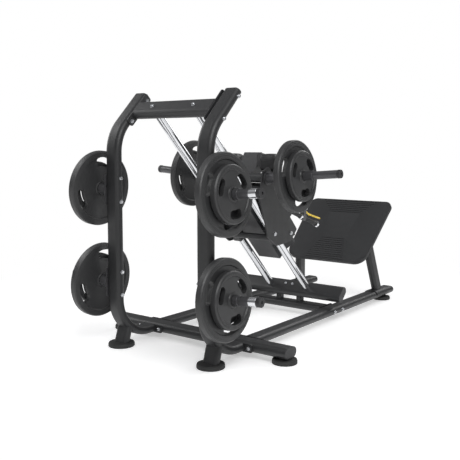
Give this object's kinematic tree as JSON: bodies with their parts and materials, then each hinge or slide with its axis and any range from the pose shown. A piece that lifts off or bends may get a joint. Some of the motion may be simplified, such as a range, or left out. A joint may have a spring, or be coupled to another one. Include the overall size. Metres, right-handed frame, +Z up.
{
  "type": "leg press machine",
  "caption": "Plate-loaded leg press with a carriage on sloping chrome guide tubes, a raised foot plate, shoulder rests and plate storage horns.",
  "frame": {"origin": "bottom centre of the machine's bounding box, on the floor", "axes": "+Z up, +Y forward from the uprights to the foot plate, +X to the side seen nearest in the source view"},
  "size_m": [1.4576, 2.5712, 1.5313],
  "materials": {
    "frame_coat": "matt fine-texture powder coat",
    "foot_plate_coat": "matt powder coat",
    "chrome": "polished",
    "horn_steel": "satin dark grey",
    "horn_collar": "satin",
    "cap_plastic": "matt",
    "bush_plastic": "matt",
    "foot_rubber": "matt",
    "plate_rubber": "satin rubber coat",
    "fastener_steel": "zinc",
    "shell_plastic": "matt moulded",
    "pad_vinyl": "matt vinyl",
    "grip_rubber": "matt",
    "bright_metal": "polished",
    "clamp_coat": "satin",
    "lever_yellow": "gloss"
  },
  "bodies": {
    "frame": {"foot_pads": "foot_rubber", "foot_plate": "foot_plate_coat", "foot_plate_carrier": "frame_coat", "foot_plate_legs": "frame_coat", "foot_spacers": "frame_coat", "frame_bolts": "fastener_steel", "frame_nuts": "fastener_steel", "guide_tubes": "chrome", "joint_flanges": "frame_coat", "leg_saddles": "frame_coat", "lower_cross_end_plates": "frame_coat", "lower_cross_tube": "frame_coat", "rails": "frame_coat", "rear_cross_tube": "frame_coat", "rear_stub_legs": "frame_coat", "rod_beam": "frame_coat", "rod_beam_bolts": "fastener_steel", "rod_beam_posts": "frame_coat", "storage_chrome_sleeves": "chrome", "storage_collars": "horn_collar", "storage_end_caps": "cap_plastic", "storage_horns": "horn_steel", "stored_large_plates": "plate_rubber", "stored_small_plates": "plate_rubber", "top_beam": "frame_coat", "top_beam_end_plates": "frame_coat", "tube_end_caps": "cap_plastic", "upright_left": "frame_coat", "upright_right": "frame_coat"},
    "carriage": {"carriage_sides": "frame_coat", "bearing_housings": "frame_coat", "bearing_bushes": "bush_plastic", "horn_cross_bar": "frame_coat", "carriage_lower_bar": "frame_coat", "press_horns": "horn_steel", "press_collars": "horn_collar", "press_end_caps": "cap_plastic", "press_large_plates": "plate_rubber", "press_small_plates": "plate_rubber", "back_shell": "shell_plastic", "shell_spacers": "frame_coat", "back_pad": "pad_vinyl", "head_shell": "shell_plastic", "head_pad": "pad_vinyl", "shoulder_mounts": "frame_coat", "shoulder_pads": "pad_vinyl", "head_bracket": "frame_coat", "handle_bars": "frame_coat", "rear_grips": "grip_rubber", "grip_collars": "bright_metal", "front_grips": "grip_rubber", "handle_end_caps": "bright_metal", "handle_brackets": "frame_coat", "lever_clamps": "clamp_coat", "lever_pins": "fastener_steel", "side_plate_bolts": "fastener_steel"},
    "lever_left": {"release_lever_left": "lever_yellow"},
    "lever_right": {"release_lever_right": "lever_yellow"}
  },
  "joints": [
    {"name": "carriage_slide", "type": "slide", "parent": "frame", "child": "carriage", "axis": [0, -0.7071, 0.7071], "range_m": [0, 0.45]},
    {"name": "lever_left_pull", "type": "hinge", "parent": "carriage", "child": "lever_left", "pos_m": [-0.17, 0.23098, 0.76716], "axis": [-1, 0, 0], "range_deg": [0, 5], "stiffness_Nm_per_rad": 2, "springref_deg": -17.19},
    {"name": "lever_right_pull", "type": "hinge", "parent": "carriage", "child": "lever_right", "pos_m": [0.17, 0.23098, 0.76716], "axis": [-1, 0, 0], "range_deg": [0, 5], "stiffness_Nm_per_rad": 2, "springref_deg": -17.19}
  ]
}
